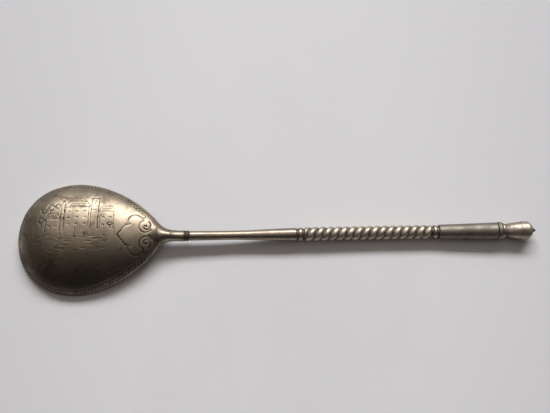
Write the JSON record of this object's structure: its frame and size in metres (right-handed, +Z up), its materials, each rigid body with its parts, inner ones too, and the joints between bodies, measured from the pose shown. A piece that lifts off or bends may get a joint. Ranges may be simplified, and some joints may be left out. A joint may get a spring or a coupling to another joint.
{
  "type": "twisted-stem teaspoon",
  "caption": "Small spoon lying face down: egg-shaped bowl with an engraved back, waisted round stem, twisted section between turned rings, plain grip and a crowned finial.",
  "frame": {"origin": "middle of the footprint on the surface that the spoon lies on, face down", "axes": "+X from the bowl's tip to the knob, +Z up through the bowl's back, +Y across the bowl"},
  "size_m": [0.1402, 0.0308, 0.0079],
  "materials": {
    "bowl_silver": "tarnished silver, engraved",
    "neck_silver": "tarnished silver, worn",
    "collar_silver": "dark tarnished silver",
    "stem_silver": "worn silver, satin",
    "ring_silver": "worn silver with dark grooves",
    "twist_silver": "worn ridges, dark grooves",
    "grip_silver": "cloudy tarnished silver",
    "finial_silver": "cast silver, worn bright",
    "pin_iron": "blackened"
  },
  "bodies": {
    "root": {"bowl": "bowl_silver", "neck": "neck_silver", "neck_dowel": "neck_silver", "neck_collar": "collar_silver", "lower_stem": "stem_silver", "lower_ring": "ring_silver", "twisted_stem": "twist_silver", "upper_ring": "ring_silver", "grip": "grip_silver", "finial_bead": "ring_silver", "finial_collar": "ring_silver", "finial_crown": "finial_silver", "finial_cap": "finial_silver", "finial_pin": "pin_iron"}
  },
  "joints": []
}
